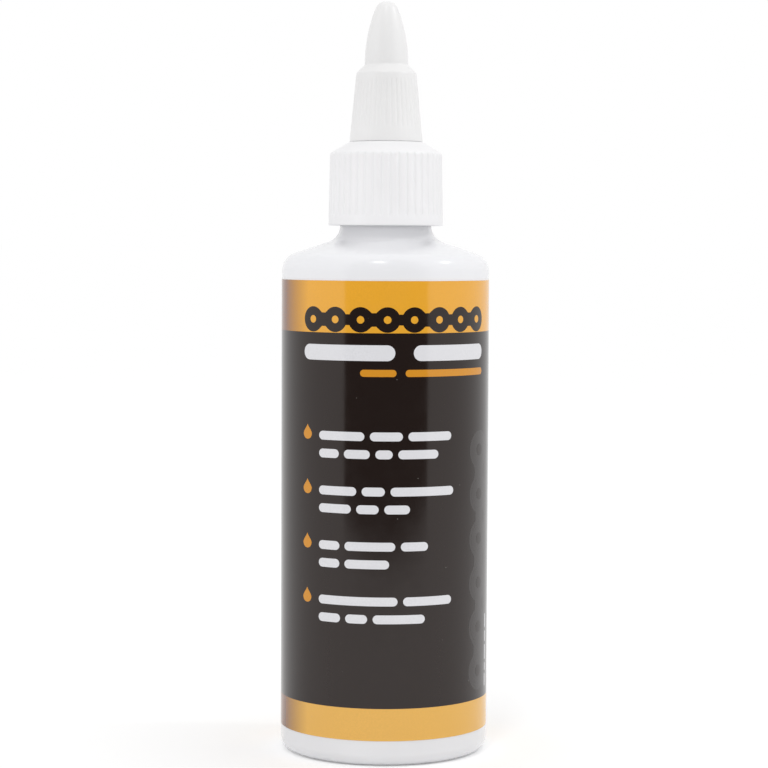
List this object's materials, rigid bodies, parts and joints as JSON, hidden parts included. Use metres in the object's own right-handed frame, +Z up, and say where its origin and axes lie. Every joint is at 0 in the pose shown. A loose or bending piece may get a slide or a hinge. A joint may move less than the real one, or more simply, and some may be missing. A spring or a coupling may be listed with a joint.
{
  "type": "chain lube bottle",
  "caption": "Round squeeze bottle for bicycle chain lube, with a printed wrap label, a ribbed screw closure and a fluted twist-open spout.",
  "frame": {"origin": "centre of the standing ring, on the surface the bottle stands on", "axes": "+Z up along the axis of the bottle towards the spout, -Y towards the front of the label, +X to the right of someone facing it"},
  "size_m": [0.0422, 0.0422, 0.1521],
  "materials": {
    "bottle_plastic": "satin white polyethylene",
    "label_film": "glossy printed film, dark with golden bands",
    "liner_foam": "off-white closed-cell foam",
    "closure_plastic": "satin white moulded plastic",
    "seal_rubber": "smooth black rubber",
    "spout_plastic": "satin white moulded plastic"
  },
  "bodies": {
    "bottle": {"bottle": "bottle_plastic", "label": "label_film"},
    "liner": {"cap_liner": "liner_foam"},
    "closure": {"screw_cap": "closure_plastic"},
    "seal": {"spout_seal": "seal_rubber"},
    "spout": {"twist_spout": "spout_plastic"}
  },
  "joints": [
    {"name": "closure_lift", "type": "slide", "parent": "bottle", "child": "liner", "axis": [0, 0, 1], "range_m": [0, 0.00635]},
    {"name": "closure_turn", "type": "hinge", "parent": "liner", "child": "closure", "pos_m": [0, 0, 0.12], "axis": [0, 0, 1], "range_deg": [0, 720]},
    {"name": "spout_lift", "type": "slide", "parent": "closure", "child": "seal", "axis": [0, 0, 1], "range_m": [0, 0.003]},
    {"name": "spout_turn", "type": "hinge", "parent": "seal", "child": "spout", "pos_m": [0, 0, 0.13], "axis": [0, 0, 1], "range_deg": [0, 180]}
  ],
  "couplings": [
    {"joint": "closure_turn", "follows": "closure_lift", "rad_per_m": 1979},
    {"joint": "spout_turn", "follows": "spout_lift", "rad_per_m": 1047.2}
  ]
}
